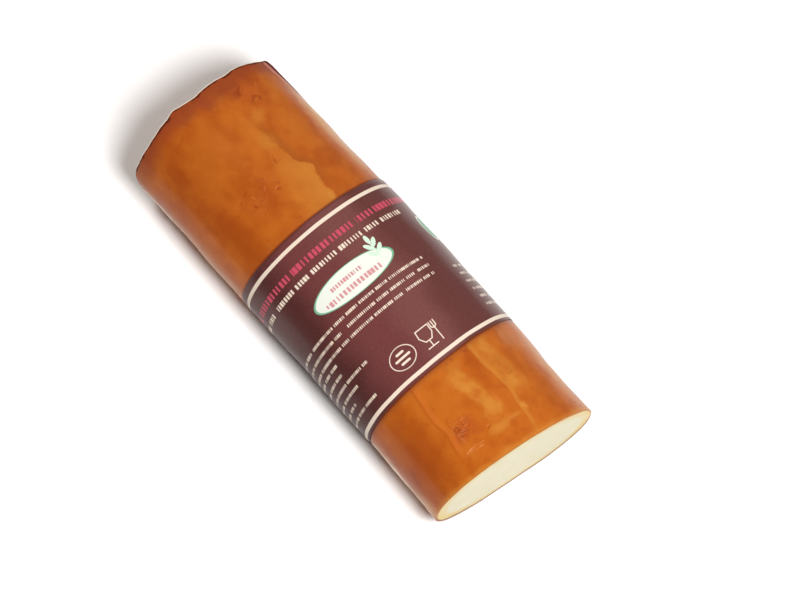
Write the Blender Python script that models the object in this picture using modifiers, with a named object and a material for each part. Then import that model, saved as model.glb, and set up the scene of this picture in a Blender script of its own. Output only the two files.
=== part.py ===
# A smoked stretched-curd cheese: a loaf-shaped log cut straight across at one end, with a
# paper band round its middle. Metres, +Z up. +X runs along the log to the cut face, and the
# origin is under the middle of the log, at the height of the base that it rests on.

import math

import bmesh
import bpy
from mathutils import Vector

# Driving dimensions of the log
LOG_WIDTH = 0.092
LOG_HEIGHT = 0.064
LOG_LENGTH = 0.2405
WIDEST_HEIGHT = 0.0296       # height of the line where the log is widest
DOME_POWER = 2.1             # superellipse power of the section above that line
BELLY_POWER = 2.53           # and below it
BELLY_SAG = 0.0012           # how far the belly is pressed flat by the log's own weight

# How the section changes along the log: pairs of a distance from the far end and a value
DOME_LEAN = ((0.0, -0.037), (0.234, 0.019))     # shift of the crown towards -Y, per width
NEAR_SWELL = (                                  # how far the -Y side stands out
    (0.0, -0.0003), (0.035, -0.0003), (0.055, 0.0001), (0.080, -0.0001),
    (0.188, -0.0004), (0.204, 0.0002), (LOG_LENGTH, 0.0010),
)
FAR_SWELL = (                                   # and the +Y side
    (0.0, -0.0005), (0.024, -0.0001), (0.056, 0.0004), (0.084, 0.0006), (0.089, 0.0014),
    (0.100, 0.0018), (0.130, 0.0021), (0.155, 0.0017), (0.180, 0.0013), (0.190, 0.0011),
    (0.202, 0.0008), (0.213, 0.0), (0.225, -0.0007), (LOG_LENGTH, -0.0005),
)
SLANT = ((0.0, 0.010), (0.060, 0.009), (0.190, 0.009), (LOG_LENGTH, 0.110))
TILT = ((0.0, -0.050), (0.060, 0.0), (0.190, 0.0), (LOG_LENGTH, 0.016))
END_BOW = 0.0021             # how far the far end's sides are set back
END_BOW_DEPTH = 0.040        # and how far along the log that dies out

# Soft lumps of the hand-filled casing: waves along the log, waves round it, phase, height
LUMPS = ((3.0, 2, 0.4, 0.00016), (5.0, 3, 2.1, 0.00011), (8.0, 5, 4.0, 0.00007))
LUMP_FADE_HEIGHT = 0.012

# The far rim, which the casing's seam leaves uneven: turn and width in degrees, reach along X
RIM_BULGES = (
    (90, 400, -0.0006), (172, 10, -0.0010), (142, 8, 0.0002), (125, 5, -0.0004),
    (113, 5, -0.0013), (97, 6, 0.0010), (86, 5, 0.0003), (75, 5, 0.0005), (61, 7, -0.0004),
    (27, 7, -0.0014), (8, 9, 0.0010),
)
RIM_DEPTH = 0.014            # how far from the end the unevenness dies out
RIM_ROUNDING = 0.0009
END_CROWN = 0.0028           # how far the far end bulges
CUT_EDGE_ROUNDING = 0.0004

# The paper band and the shallow groove that it presses into the rind
BAND_START = 0.0873
BAND_END = 0.1847
BAND_THICKNESS = 0.0004
BAND_PROUD = 0.00012         # how far the band stands above the rind round its sides
BAND_BASE_INSET = 0.0001     # how far it stays above the base underneath
BAND_GAP = 0.0003            # clearance between the band and the groove
GROOVE_SIDE = 0.0003         # run of the groove's sloping side
BASE_BLEND_HEIGHT = 0.004

# Resolution
TURN_POINTS = 76
DENSE_POINTS = 720
RIND_STEP = 0.0095

# Colours, 0 to 255
RIND_COLOUR = (190, 92, 28)
PASTE_COLOUR = (243, 237, 208)
BAND_COLOUR = (112, 64, 64)


def clearScene():
    for item in list(bpy.data.objects):
        bpy.data.objects.remove(item)


def linear(colour):
    shares = [channel / 255 for channel in colour]
    return [s / 12.92 if s <= 0.04045 else ((s + 0.055) / 1.055) ** 2.4 for s in shares]


def material(name, colour, roughness):
    made = bpy.data.materials.new(name)
    made.use_nodes = True
    shader = made.node_tree.nodes["Principled BSDF"]
    shader.inputs["Base Color"].default_value = (*linear(colour), 1.0)
    shader.inputs["Roughness"].default_value = roughness
    shader.inputs["Metallic"].default_value = 0.0
    return made


def eased(share):
    share = min(max(share, 0.0), 1.0)
    return share * share * (3 - 2 * share)


def graded(along, marks):
    # The value at a distance along the log, eased from one mark to the next
    value = marks[0][1]
    for (start, low), (end, high) in zip(marks, marks[1:]):
        if along > start:
            value = low + (high - low) * eased((along - start) / (end - start))
    return value


def sectionPoint(turn, along):
    # Turn 0 faces +Y and a quarter turn faces up. The belly is clipped flat at the base.
    side, lift = math.cos(turn), math.sin(turn)
    power = 2 / (DOME_POWER if lift >= 0 else BELLY_POWER)
    half = LOG_WIDTH / 2 + graded(along, FAR_SWELL if side > 0 else NEAR_SWELL)
    y = math.copysign(abs(side) ** power, side) * half
    rise = abs(lift) ** power
    if lift >= 0:
        y -= graded(along, DOME_LEAN) * LOG_WIDTH * rise ** 1.5
        return Vector((y, WIDEST_HEIGHT + (LOG_HEIGHT - WIDEST_HEIGHT) * rise))
    return Vector((y, max(0.0, WIDEST_HEIGHT - (WIDEST_HEIGHT + BELLY_SAG) * rise)))


def sectionRing(along):
    # Points evenly spaced round the section, with the direction that faces out at each,
    # from the middle of the base round by +Y
    turns = [math.tau * (index / DENSE_POINTS - 0.25) for index in range(DENSE_POINTS + 1)]
    dense = [sectionPoint(turn, along) for turn in turns]
    reach = [0.0]
    for before, after in zip(dense, dense[1:]):
        reach.append(reach[-1] + (after - before).length)
    ring = []
    at = 0
    for index in range(TURN_POINTS):
        wanted = reach[-1] * index / TURN_POINTS
        while reach[at + 1] < wanted:
            at += 1
        share = (wanted - reach[at]) / (reach[at + 1] - reach[at])
        point = dense[at].lerp(dense[at + 1], share)
        edge = (dense[at + 1] - dense[at]).normalized()
        turn = turns[at] + (turns[at + 1] - turns[at]) * share
        ring.append((turn, point, Vector((edge.y, -edge.x))))
    return ring


def lump(turn, along, height):
    total = 0.0
    for waves, round_, phase, size in LUMPS:
        total += size * math.sin(math.tau * waves * along / LOG_LENGTH + phase + round_ * turn)
    return total * eased(height / LUMP_FADE_HEIGHT)


def rimReach(turn, along):
    degrees = math.degrees(turn)
    reach = sum(
        size * math.exp(-(((degrees - middle) / width) ** 2))
        for middle, width, size in RIM_BULGES
    )
    return reach * (1 - eased(along / RIM_DEPTH))


def bandInset(height):
    # Proud of the rind round the sides, and clear of what the log rests on underneath
    return BAND_BASE_INSET - (BAND_BASE_INSET + BAND_PROUD) * eased(height / BASE_BLEND_HEIGHT)


def skinRing(along, inset, shrink=1.0, bulge=0.0):
    # One ring of the log's skin: inset is a distance, or a function of the height, inwards
    ring = []
    middle = Vector((0.0, LOG_HEIGHT * 0.45))
    for turn, point, outward in sectionRing(along):
        depth = inset(point.y) if callable(inset) else inset
        moved = point + outward * (lump(turn, along, point.y) - depth)
        moved = middle + (moved - middle) * shrink
        slant = graded(along, SLANT) * moved.x
        tilt = graded(along, TILT) * (moved.y - LOG_HEIGHT / 2)
        bow = END_BOW * (1 - eased(along / END_BOW_DEPTH)) * (2 * moved.x / LOG_WIDTH) ** 2
        x = along + slant + tilt + bow + rimReach(turn, along) * shrink ** 3 - bulge
        ring.append(Vector((x, moved.x, moved.y)))
    return ring


def loft(rings):
    # A tube through the rings, started from a circle and carried on by extruding its edge
    mesh = bmesh.new()
    bmesh.ops.create_circle(mesh, segments=TURN_POINTS, radius=1.0)
    mesh.verts.ensure_lookup_table()
    rim = list(mesh.verts)
    edges = list(mesh.edges)
    for number, ring in enumerate(rings):
        if number:
            made = bmesh.ops.extrude_edge_only(mesh, edges=edges)["geom"]
            edges = [item for item in made if isinstance(item, bmesh.types.BMEdge)
                     and item.is_boundary]
            rim = [nextVertex(mesh, vertex, made) for vertex in rim]
        for vertex, place in zip(rim, ring):
            vertex.co = place
    return mesh, edges


def nextVertex(mesh, vertex, made):
    # The vertex that the last extrusion made from this one
    fresh = {item for item in made if isinstance(item, bmesh.types.BMVert)}
    for edge in vertex.link_edges:
        other = edge.other_vert(vertex)
        if other in fresh:
            return other
    raise ValueError("the extrusion left a vertex behind")


def closeEnd(mesh, edges, middle):
    # A fan of triangles to one point
    face = bmesh.ops.contextual_create(mesh, geom=edges)["faces"][0]
    made = bmesh.ops.poke(mesh, faces=[face])
    made["verts"][0].co = middle
    return made["faces"]


def average(ring):
    return sum(ring, Vector()) / len(ring)


def finished(name, mesh, materials, sharp_angle=math.radians(40)):
    bmesh.ops.recalc_face_normals(mesh, faces=mesh.faces)
    data = bpy.data.meshes.new(name)
    mesh.to_mesh(data)
    mesh.free()
    for one in materials:
        data.materials.append(one)
    data.shade_smooth()
    data.set_sharp_from_angle(angle=sharp_angle)
    return bpy.data.objects.new(name, data)


def evenSteps(start, end, step):
    count = max(1, round((end - start) / step))
    return [start + (end - start) * index / count for index in range(count + 1)]


def makeCheese():
    floor = BAND_THICKNESS + BAND_GAP

    def grooveInset(height):
        return bandInset(height) + floor

    grooveStart = BAND_START - BAND_GAP
    grooveEnd = BAND_END + BAND_GAP
    rounding = [(RIM_ROUNDING * (1 - math.sin(a)), RIM_ROUNDING * (1 - math.cos(a)))
                for a in (0.0, math.pi / 6, math.pi / 3, math.pi / 2)]
    rings = [skinRing(0.0, rounding[0][0], shrink, END_CROWN * (1 - shrink ** 2))
             for shrink in (0.35, 0.65, 0.88)]
    rings += [skinRing(along, inset) for inset, along in rounding]
    rings += [skinRing(along, 0.0)
              for along in evenSteps(RIM_ROUNDING, grooveStart - GROOVE_SIDE, RIND_STEP)[1:]]
    rings += [skinRing(along, grooveInset)
              for along in evenSteps(grooveStart, grooveEnd, RIND_STEP)]
    rings += [skinRing(along, 0.0)
              for along in evenSteps(grooveEnd + GROOVE_SIDE, LOG_LENGTH - CUT_EDGE_ROUNDING,
                                     RIND_STEP)]
    rings.append(skinRing(LOG_LENGTH, CUT_EDGE_ROUNDING))

    mesh, cutEdges = loft(rings)
    farEdges = [edge for edge in mesh.edges if edge.is_boundary and edge not in cutEdges]
    closeEnd(mesh, farEdges, average(rings[0]) - Vector((END_CROWN * 0.1, 0.0, 0.0)))
    for face in closeEnd(mesh, cutEdges, average(rings[-1])):
        face.material_index = 1
    return finished("cheese", mesh, [
        material("rind", RIND_COLOUR, 0.3),
        material("paste", PASTE_COLOUR, 0.55),
    ])


def makeBand():
    rings = [skinRing(along, bandInset) for along in evenSteps(BAND_START, BAND_END, RIND_STEP)]
    mesh, _ = loft(rings)
    band = finished("label", mesh, [material("label", BAND_COLOUR, 0.35)])
    wall = band.modifiers.new("paper", "SOLIDIFY")
    wall.thickness = BAND_THICKNESS
    wall.offset = -1.0
    wall.use_even_offset = True
    return band


def centre(parts):
    # Brings the middle of the log's box to the origin. The base is at Z = 0 already.
    corners = [vertex.co for vertex in parts[0].data.vertices]
    shift = Vector((
        -(min(c.x for c in corners) + max(c.x for c in corners)) / 2,
        -(min(c.y for c in corners) + max(c.y for c in corners)) / 2,
        0.0,
    ))
    for part in parts:
        for vertex in part.data.vertices:
            vertex.co += shift


def main():
    clearScene()
    collection = bpy.data.collections.new("smoked_scamorza")
    bpy.context.scene.collection.children.link(collection)
    parts = [makeCheese(), makeBand()]
    centre(parts)
    for part in parts:
        collection.objects.link(part)


main()
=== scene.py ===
import math

import bmesh
import bpy
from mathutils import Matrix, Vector, noise


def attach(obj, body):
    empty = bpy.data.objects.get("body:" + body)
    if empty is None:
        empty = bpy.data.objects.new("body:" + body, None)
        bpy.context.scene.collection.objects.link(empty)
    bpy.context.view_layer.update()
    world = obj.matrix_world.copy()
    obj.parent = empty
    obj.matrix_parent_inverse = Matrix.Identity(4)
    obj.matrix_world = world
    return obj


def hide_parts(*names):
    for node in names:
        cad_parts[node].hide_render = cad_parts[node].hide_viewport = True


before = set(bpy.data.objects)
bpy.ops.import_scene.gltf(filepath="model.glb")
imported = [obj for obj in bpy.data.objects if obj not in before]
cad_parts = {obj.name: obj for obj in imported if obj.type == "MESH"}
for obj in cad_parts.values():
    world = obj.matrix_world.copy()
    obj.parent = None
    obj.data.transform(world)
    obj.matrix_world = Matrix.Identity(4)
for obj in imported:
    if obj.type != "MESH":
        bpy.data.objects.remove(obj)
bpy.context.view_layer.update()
print("frame loaded")

# Sizes are in metres. Print and rind marks are in millimetres on the map called wrap,
# which runs round the log from the middle of its base and along it from the far end.

log = {
    "width": 0.092,
    "height": 0.064,
    "length": 0.2405,
    "widestHeight": 0.0296,     # where the section is widest
    "domePower": 2.1,
    "leanPower": 1.5,
    "bellyPower": 2.53,
    "bellySag": 0.0012,
    "domeLean": ((0.0, -0.037), (0.234, 0.019)),
    "nearSwell": (
        (0.0, -0.0003), (0.035, -0.0003), (0.055, 0.0001), (0.080, -0.0001),
        (0.188, -0.0004), (0.204, 0.0002), (0.2405, 0.0010),
    ),
    "farSwell": (
        (0.0, -0.0005), (0.024, -0.0001), (0.056, 0.0004), (0.084, 0.0006), (0.089, 0.0014),
        (0.100, 0.0018), (0.130, 0.0021), (0.155, 0.0017), (0.180, 0.0013), (0.190, 0.0011),
        (0.202, 0.0008), (0.213, 0.0), (0.225, -0.0007), (0.2405, -0.0005),
    ),
    "slant": ((0.0, 0.010), (0.060, 0.009), (0.190, 0.009), (0.2405, 0.110)),
    "tilt": ((0.0, -0.050), (0.060, 0.0), (0.190, 0.0), (0.2405, 0.016)),
    "middleHeight": 0.45,       # what the rings shrink to at the ends, as a share of the height
    "endBow": 0.0021,
    "endBowDepth": 0.040,
    "lumps": ((3.0, 2, 0.4, 0.00016), (5.0, 3, 2.1, 0.00011), (8.0, 5, 4.0, 0.00007)),
    "lumpFadeHeight": 0.012,
    "rimBulges": (
        (90, 400, -0.0006), (172, 10, -0.0010), (142, 8, 0.0002), (125, 5, -0.0004),
        (113, 5, -0.0013), (97, 6, 0.0010), (86, 5, 0.0003), (75, 5, 0.0005), (61, 7, -0.0004),
        (27, 7, -0.0014), (8, 9, 0.0010),
    ),
    "rimDepth": 0.014,
    "rimRounding": 0.0009,
    "endCrown": 0.0028,
    "rimRoughness": 0.00022,
    # small notches of the rim: how fine, seed and size
    "notches": ((9, 0.3, 1.0), (21, 4.0, 0.6)),
    "cutRounding": 0.0004,
    "bandStart": 0.0873,
    "bandEnd": 0.1847,
    "bandThickness": 0.0004,
    "bandProud": 0.00012,
    "bandBaseInset": 0.0001,
    "bandSeat": 0.0001,         # how deep the rind lies under the band
    "baseBlendHeight": 0.004,
    "densePoints": 720,
}
millimetre = 0.001


# Shape of the log

def eased(share):
    share = min(max(share, 0.0), 1.0)
    return share * share * (3 - 2 * share)


def graded(along, marks):
    value = marks[0][1]
    for (start, low), (end, high) in zip(marks, marks[1:]):
        if along > start:
            value = low + (high - low) * eased((along - start) / (end - start))
    return value


def sectionPoint(turn, along, lean, reach):
    # A quarter turn is straight up; the belly is clipped flat at the base
    side, lift = math.cos(turn), math.sin(turn)
    power = 2 / (log["domePower"] if lift >= 0 else log["bellyPower"])
    half = log["width"] / 2 + reach[side > 0]
    y = math.copysign(abs(side) ** power, side) * half
    rise = abs(lift) ** power
    widest = log["widestHeight"]
    if lift >= 0:
        return Vector((y - lean * rise ** log["leanPower"], widest + (log["height"] - widest) * rise))
    return Vector((y, max(0.0, widest - (widest + log["bellySag"]) * rise)))


def sectionRing(along, count):
    # Points evenly spaced round the section, each with the direction that faces out
    along = min(max(along, 0.0), log["length"])
    lean = graded(along, log["domeLean"]) * log["width"]
    reach = (graded(along, log["nearSwell"]), graded(along, log["farSwell"]))
    steps = log["densePoints"]
    turns = [math.tau * (index / steps - 0.25) for index in range(steps + 1)]
    dense = [sectionPoint(turn, along, lean, reach) for turn in turns]
    length = [0.0]
    for before, after in zip(dense, dense[1:]):
        length.append(length[-1] + (after - before).length)
    ring = []
    at = 0
    for index in range(count):
        wanted = length[-1] * index / count
        while length[at + 1] < wanted:
            at += 1
        share = (wanted - length[at]) / (length[at + 1] - length[at])
        edge = (dense[at + 1] - dense[at]).normalized()
        turn = turns[at] + (turns[at + 1] - turns[at]) * share
        ring.append((turn, dense[at].lerp(dense[at + 1], share), Vector((edge.y, -edge.x))))
    return ring, length[-1]


def lump(turn, along, height):
    total = 0.0
    for waves, round_, phase, size in log["lumps"]:
        total += size * math.sin(math.tau * waves * along / log["length"] + phase + round_ * turn)
    return total * eased(height / log["lumpFadeHeight"])


def rimReach(turn, along):
    degrees = math.degrees(turn)
    reach = sum(
        size * math.exp(-(((degrees - middle) / width) ** 2))
        for middle, width, size in log["rimBulges"]
    )
    notch = sum(
        size * noise.noise(Vector((fine * math.cos(turn), fine * math.sin(turn), seed)))
        for fine, seed, size in log["notches"]
    )
    reach += notch * log["rimRoughness"] * (1 - eased(along / (log["rimDepth"] / 4)))
    return reach * (1 - eased(along / log["rimDepth"]))


def skinRing(along, count, inset=0.0, shrink=1.0, bulge=0.0, detail=None):
    # One ring of the skin and its girth; inset is a distance or a function of the height
    ring = []
    section, girth = sectionRing(along, count)
    middle = Vector((0.0, log["height"] * log["middleHeight"]))
    slanted = graded(along, log["slant"])
    tilted = graded(along, log["tilt"])
    bowed = log["endBow"] * (1 - eased(along / log["endBowDepth"]))
    for index, (turn, point, outward) in enumerate(section):
        depth = inset(point.y) if callable(inset) else inset
        push = lump(turn, along, point.y) - depth
        if detail:
            push += detail(along, index / count, point.y)
        moved = point + outward * push
        moved = middle + (moved - middle) * shrink
        x = along + slanted * moved.x + tilted * (moved.y - log["height"] / 2)
        x += bowed * (2 * moved.x / log["width"]) ** 2
        x += rimReach(turn, along) * shrink ** 3 - bulge
        ring.append(Vector((x, moved.x, moved.y)))
    return ring, girth


def bandInset(height):
    inset = log["bandBaseInset"]
    return inset - (inset + log["bandProud"]) * eased(height / log["baseBlendHeight"])


# Meshes

def wrappedGrid(rows, marks, depths=None):
    # A grid bent round into a tube: one row of the grid for each ring, closed at the base.
    # The wrap map holds real distances: round the log, and each row's mark along it.
    mesh = bmesh.new()
    wrap = mesh.loops.layers.uv.new("wrap")
    rimDepth = mesh.verts.layers.float.new("rimDepth")
    count = len(rows[0][0])
    bmesh.ops.create_grid(mesh, x_segments=count, y_segments=len(rows) - 1, size=1.0)
    place = {
        vertex: (round((vertex.co.x + 1) / 2 * count), round((vertex.co.y + 1) / 2 * (len(rows) - 1)))
        for vertex in mesh.verts
    }
    for face in mesh.faces:
        for loop in face.loops:
            column, row = place[loop.vert]
            loop[wrap].uv = (column / count * rows[row][1], marks[row])
    for vertex, (column, row) in place.items():
        vertex.co = rows[row][0][column % count]
        vertex[rimDepth] = depths[row] if depths else 0.0
    bmesh.ops.remove_doubles(mesh, verts=mesh.verts, dist=1e-7)
    return mesh


def closeHoles(mesh, mark):
    # A fan to one point over each open end, all at one mark on the wrap map
    loops = [edge for edge in mesh.edges if edge.is_boundary]
    made = bmesh.ops.edgeloop_fill(mesh, edges=loops)["faces"]
    wrap = mesh.loops.layers.uv["wrap"]
    for face in bmesh.ops.poke(mesh, faces=made)["faces"]:
        for loop in face.loops:
            loop[wrap].uv = (0.0, mark)


def finished(name, mesh, materials, sharpAngle=math.radians(38)):
    bmesh.ops.recalc_face_normals(mesh, faces=mesh.faces)
    data = bpy.data.meshes.new(name)
    mesh.to_mesh(data)
    mesh.free()
    for one in materials:
        data.materials.append(one)
    data.shade_smooth()
    data.set_sharp_from_angle(angle=sharpAngle)
    piece = bpy.data.objects.new(name, data)
    bpy.context.scene.collection.objects.link(piece)
    return piece


# Node helpers

def linear(colour):
    shares = [channel / 255 for channel in colour]
    return tuple(s / 12.92 if s <= 0.04045 else ((s + 0.055) / 1.055) ** 2.4 for s in shares) + (1.0,)


def feed(tree, socket, value):
    if isinstance(value, bpy.types.NodeSocket):
        tree.links.new(value, socket)
    else:
        socket.default_value = value


def addNode(tree, kind, values=None, **settings):
    made = tree.nodes.new(kind)
    for name, value in settings.items():
        setattr(made, name, value)
    for name, value in (values or {}).items():
        feed(tree, made.inputs[name], value)
    return made


def calc(tree, operation, *values):
    made = tree.nodes.new("ShaderNodeMath")
    made.operation = operation
    for socket, value in zip(made.inputs, values):
        feed(tree, socket, value)
    return made.outputs[0]


def times(tree, first, *others):
    for other in others:
        first = calc(tree, "MULTIPLY", first, other)
    return first


def minus(tree, first, second):
    return calc(tree, "SUBTRACT", first, second)


def raised(tree, value, mask, size):
    # The value with the mask times the size added
    return calc(tree, "MULTIPLY_ADD", mask, size, value)


def apart(tree, first, second):
    return calc(tree, "ABSOLUTE", minus(tree, first, second))


def dot(tree, firstX, secondX, firstY, secondY):
    return raised(tree, times(tree, firstY, secondY), firstX, secondX)


def clipped(tree, value):
    return calc(tree, "MINIMUM", calc(tree, "MAXIMUM", value, 0.0), 1.0)


def most(tree, masks):
    total = masks[0]
    for mask in masks[1:]:
        total = calc(tree, "MAXIMUM", total, mask)
    return total


def stirred(tree, chance, reach, value):
    # The value moved by up to half the reach either way, by a chance from 0 to 1
    return raised(tree, value, minus(tree, chance, 0.5), reach)


def fade(tree, value, low, high, start=0.0, end=1.0):
    # Smooth change from start to end as the value goes from low to high
    made = addNode(tree, "ShaderNodeMapRange", {
        "Value": value, "From Min": low, "From Max": high, "To Min": start, "To Max": end,
    }, interpolation_type="SMOOTHSTEP")
    return made.outputs[0]


def window(tree, value, start, full, last, end):
    # 0 up to start, 1 from full to last, and 0 again from end
    return times(tree, fade(tree, value, start, full), fade(tree, value, end, last))


def blend(tree, factor, below, above):
    made = tree.nodes.new("ShaderNodeMix")
    made.data_type = "RGBA"
    feed(tree, made.inputs[0], factor)
    feed(tree, made.inputs[6], linear(below) if isinstance(below, tuple) else below)
    feed(tree, made.inputs[7], linear(above) if isinstance(above, tuple) else above)
    return made.outputs[2]


def cloud(tree, place, scale, detail, roughness=0.5, distortion=0.0):
    return addNode(tree, "ShaderNodeTexNoise", {
        "Vector": place, "Scale": scale, "Detail": detail, "Roughness": roughness, "Distortion": distortion,
    }).outputs


def wander(tree, at, detail):
    # Noise along one number
    values = {"W": at, "Scale": 1.0, "Detail": detail}
    return addNode(tree, "ShaderNodeTexNoise", values, noise_dimensions="1D").outputs["Fac"]


def stretched(tree, place, scale):
    return addNode(tree, "ShaderNodeMapping", {"Vector": place, "Scale": scale}).outputs[0]


def inMillimetres(tree, place):
    values = {0: place, 1: (1 / millimetre,) * 3}
    return addNode(tree, "ShaderNodeVectorMath", values, operation="MULTIPLY").outputs[0]


def wrapPlace(tree):
    # Millimetres round the log and along it, and both as one vector
    place = inMillimetres(tree, addNode(tree, "ShaderNodeUVMap", uv_map="wrap").outputs[0])
    split = addNode(tree, "ShaderNodeSeparateXYZ", {0: place}).outputs
    return split["X"], split["Y"], place


def spacePlace(tree):
    # Millimetres in space, and the height alone
    place = inMillimetres(tree, addNode(tree, "ShaderNodeTexCoord").outputs["Object"])
    return place, addNode(tree, "ShaderNodeSeparateXYZ", {0: place}).outputs["Z"]


def newMaterial(name, sockets):
    made = bpy.data.materials.new(name)
    made.use_nodes = True
    shader = made.node_tree.nodes["Principled BSDF"]
    for label, value in sockets.items():
        shader.inputs[label].default_value = value
    return made, made.node_tree, shader


def addBump(tree, shader, height, strength, distance):
    bump = addNode(tree, "ShaderNodeBump", {"Height": height, "Strength": strength, "Distance": distance})
    feed(tree, shader.inputs["Normal"], bump.outputs[0])


def newGroup(name, *inputs):
    # Every input is a number, but for the one called vector
    group = bpy.data.node_groups.new(name, "ShaderNodeTree")
    for label in inputs:
        kind = "NodeSocketVector" if label == "vector" else "NodeSocketFloat"
        group.interface.new_socket(label, in_out="INPUT", socket_type=kind)
    group.interface.new_socket("result", in_out="OUTPUT", socket_type="NodeSocketFloat")
    given = group.nodes.new("NodeGroupInput").outputs
    return group, given, group.nodes.new("NodeGroupOutput").inputs["result"]


def useGroup(tree, group, **values):
    return addNode(tree, "ShaderNodeGroup", values, node_tree=group).outputs[0]


# Groups shared by the materials

blocks = {
    # what each number of a row on the band stands for
    "values": ("start", "end", "ragged", "baseline", "spacing", "rows", "height", "pitch", "word", "seed"),
    "rise": 0.75,           # share of the row spacing that lies above the baseline
    "rowSeed": 7.3,
    "leastHalf": 0.16,      # half of a block's width, as a share of its cell
    "moreHalf": 0.27,
    "shift": 0.16,
    "edge": 0.07,
    "tall": (0.56, 0.44),
    "driftCells": 12.0,
    "drift": 1.1,
    "endEdge": 0.1,
    "lineEdge": 0.08,
}


def makeMottleGroup():
    # Soft uneven patches, 0 to 1, at a size in millimetres on the wrap map or in space
    group, given, out = newGroup("mottle", "vector", "size", "detail", "contrast")
    scale = calc(group, "DIVIDE", 1.0, given["size"])
    patches = cloud(group, given["vector"], scale, given["detail"], 0.55)["Fac"]
    feed(group, out, clipped(group, stirred(group, patches, times(group, given["contrast"], 2.0), 0.5)))
    return group


def makeSpotGroup():
    # Distance from a turned ellipse's middle, 1 at its edge
    group, given, out = newGroup(
        "spot", "round", "along", "middleRound", "middleAlong", "halfRound", "halfAlong", "turn")
    across = minus(group, given["round"], given["middleRound"])
    down = minus(group, given["along"], given["middleAlong"])
    cosine = calc(group, "COSINE", given["turn"])
    sine = calc(group, "SINE", given["turn"])
    first = calc(group, "DIVIDE", dot(group, across, cosine, down, sine), given["halfRound"])
    turned = minus(group, times(group, down, cosine), times(group, across, sine))
    second = calc(group, "DIVIDE", turned, given["halfAlong"])
    feed(group, out, calc(group, "SQRT", dot(group, first, first, second, second)))
    return group


def makeRowsGroup():
    # Rows of small plain blocks in clusters
    group, given, out = newGroup("blockRows", "across", "down", *blocks["values"])

    # Which row this is, and how far up it, counted from the row's baseline
    fromTop = calc(group, "DIVIDE", minus(group, given["down"], given["baseline"]), given["spacing"])
    fromTop = calc(group, "ADD", fromTop, blocks["rise"])
    row = calc(group, "FLOOR", fromTop)
    below = calc(group, "GREATER_THAN", row, -0.5)
    above = calc(group, "LESS_THAN", row, minus(group, given["rows"], 0.5))
    up = times(group, calc(group, "ADD", minus(group, blocks["rise"], fromTop), row), given["spacing"])
    rowSeed = calc(group, "ADD", times(group, row, blocks["rowSeed"]), given["seed"])

    # One block in each cell of the row, of uneven width and place
    cells = calc(group, "DIVIDE", given["across"], given["pitch"])
    cell = calc(group, "FLOOR", cells)
    seat = addNode(group, "ShaderNodeCombineXYZ", {"X": cell, "Y": rowSeed}).outputs[0]
    dice = addNode(group, "ShaderNodeTexWhiteNoise", {"Vector": seat}, noise_dimensions="2D")
    chances = addNode(group, "ShaderNodeSeparateColor", {"Color": dice.outputs["Color"]}).outputs
    half = raised(group, blocks["leastHalf"], chances["Red"], blocks["moreHalf"])
    middle = stirred(group, chances["Green"], blocks["shift"], 0.5)
    off = apart(group, minus(group, cells, cell), middle)
    wide = fade(group, off, calc(group, "ADD", half, blocks["edge"]), minus(group, half, blocks["edge"]))
    share = apart(group, calc(group, "DIVIDE", up, given["height"]), 0.5)
    block = times(group, wide, fade(group, share, *blocks["tall"]))

    # Clusters of uneven length with a gap of one cell between them
    drift = wander(group, calc(group, "ADD", calc(group, "DIVIDE", cell, blocks["driftCells"]), rowSeed), 0.0)
    place = calc(group, "DIVIDE", times(group, cell, given["pitch"]), given["word"])
    place = raised(group, calc(group, "ADD", place, rowSeed), drift, blocks["drift"])
    gap = minus(group, 1.0, calc(group, "DIVIDE", given["pitch"], given["word"]))
    cluster = calc(group, "LESS_THAN", calc(group, "FRACT", place), gap)

    # Each row starts at one place and ends at a chance one
    dice = addNode(group, "ShaderNodeTexWhiteNoise", {"W": rowSeed}, noise_dimensions="1D")
    rowEnd = minus(group, given["end"], times(group, given["ragged"], dice.outputs["Value"]))
    within = window(group, given["across"], minus(group, given["start"], blocks["endEdge"]), given["start"],
                    minus(group, rowEnd, blocks["endEdge"]), rowEnd)
    feed(group, out, times(group, block, cluster, within, below, above))
    return group


def makeLineGroup():
    # A straight printed line between two places
    group, given, out = newGroup(
        "line", "across", "down", "startAcross", "startDown", "endAcross", "endDown", "halfWidth")
    wayAcross = minus(group, given["endAcross"], given["startAcross"])
    wayDown = minus(group, given["endDown"], given["startDown"])
    fromAcross = minus(group, given["across"], given["startAcross"])
    fromDown = minus(group, given["down"], given["startDown"])
    along = clipped(group, calc(group, "DIVIDE", dot(group, fromAcross, wayAcross, fromDown, wayDown),
                                dot(group, wayAcross, wayAcross, wayDown, wayDown)))
    offAcross = minus(group, fromAcross, times(group, wayAcross, along))
    offDown = minus(group, fromDown, times(group, wayDown, along))
    off = calc(group, "SQRT", dot(group, offAcross, offAcross, offDown, offDown))
    feed(group, out, fade(group, off, calc(group, "ADD", given["halfWidth"], blocks["lineEdge"]),
                          minus(group, given["halfWidth"], blocks["lineEdge"])))
    return group


mottle = makeMottleGroup()
spot = makeSpotGroup()
blockRows = makeRowsGroup()
printedLine = makeLineGroup()
print("node groups made")


def mottled(tree, place, size, detail, contrast):
    return useGroup(tree, mottle, vector=place, size=size, detail=detail, contrast=contrast)


def spotAway(tree, round_, along, middleRound, middleAlong, halfRound, halfAlong, turn=0.0):
    return useGroup(tree, spot, round=round_, along=along, middleRound=middleRound, turn=turn,
                    middleAlong=middleAlong, halfRound=halfRound, halfAlong=halfAlong)


# Rind

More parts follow.
